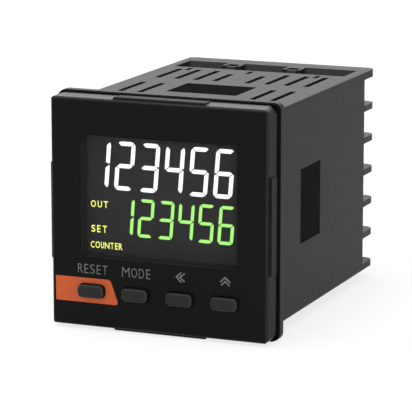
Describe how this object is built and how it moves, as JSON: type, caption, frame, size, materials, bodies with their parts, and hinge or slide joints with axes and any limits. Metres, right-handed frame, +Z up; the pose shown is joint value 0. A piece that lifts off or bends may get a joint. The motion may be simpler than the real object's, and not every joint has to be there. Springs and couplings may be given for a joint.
{
  "type": "panel counter",
  "caption": "Digital counter for a square panel cut-out: keyed front with a two-line liquid crystal display, vented case behind it and finned screw terminals at the rear.",
  "frame": {"origin": "centre of the flange's rear face, which rests on the panel", "axes": "+Y runs from the panel back to the terminals, the display faces -Y, +X is to the right seen from the front, +Z is up"},
  "size_m": [0.048, 0.0697, 0.048],
  "materials": {
    "cover_black": "satin",
    "window_smoke": "polished",
    "inlay_orange": "satin",
    "key_grey": "satin",
    "case_charcoal": "fine grain",
    "block_black": "fine grain",
    "seal_rubber": "matte",
    "plated_steel": "plated",
    "display_glass": "polished",
    "frame_black": "matte",
    "guide_white": "polished",
    "strip_rubber": "matte",
    "board_green": "solder mask",
    "switch_grey": "matte",
    "chip_black": "matte",
    "header_black": "matte",
    "core_steel": "lacquered",
    "coil_tape": "tape",
    "can_sleeve": "sleeve",
    "relay_blue": "moulded",
    "opto_white": "moulded"
  },
  "bodies": {
    "housing": {"front_bezel": "cover_black", "display_window": "window_smoke", "reset_inlay": "inlay_orange", "seal_ring": "seal_rubber", "case": "case_charcoal", "terminal_block": "block_black", "terminal_plates": "plated_steel", "terminal_screws": "plated_steel", "lcd_glass": "display_glass", "lcd_frame": "frame_black", "light_guide": "guide_white", "lcd_connector": "strip_rubber", "display_board": "board_green", "key_switches": "switch_grey", "microcontroller": "chip_black", "board_headers": "header_black", "power_board": "board_green", "output_board": "board_green", "rear_board": "board_green", "transformer_core": "core_steel", "transformer_coil": "coil_tape", "smoothing_capacitors": "can_sleeve", "relay": "relay_blue", "optocouplers": "opto_white"},
    "reset_button": {"reset_key": "key_grey", "reset_plunger": "switch_grey"},
    "mode_button": {"mode_key": "key_grey", "mode_plunger": "switch_grey"},
    "shift_button": {"shift_key": "key_grey", "shift_plunger": "switch_grey"},
    "up_button": {"up_key": "key_grey", "up_plunger": "switch_grey"}
  },
  "joints": [
    {"name": "reset_press", "type": "slide", "parent": "housing", "child": "reset_button", "axis": [0, 1, 0], "range_m": [0, 0.0003], "stiffness_N_per_m": 1500},
    {"name": "mode_press", "type": "slide", "parent": "housing", "child": "mode_button", "axis": [0, 1, 0], "range_m": [0, 0.0003], "stiffness_N_per_m": 1500},
    {"name": "shift_press", "type": "slide", "parent": "housing", "child": "shift_button", "axis": [0, 1, 0], "range_m": [0, 0.0003], "stiffness_N_per_m": 1500},
    {"name": "up_press", "type": "slide", "parent": "housing", "child": "up_button", "axis": [0, 1, 0], "range_m": [0, 0.0003], "stiffness_N_per_m": 1500}
  ]
}
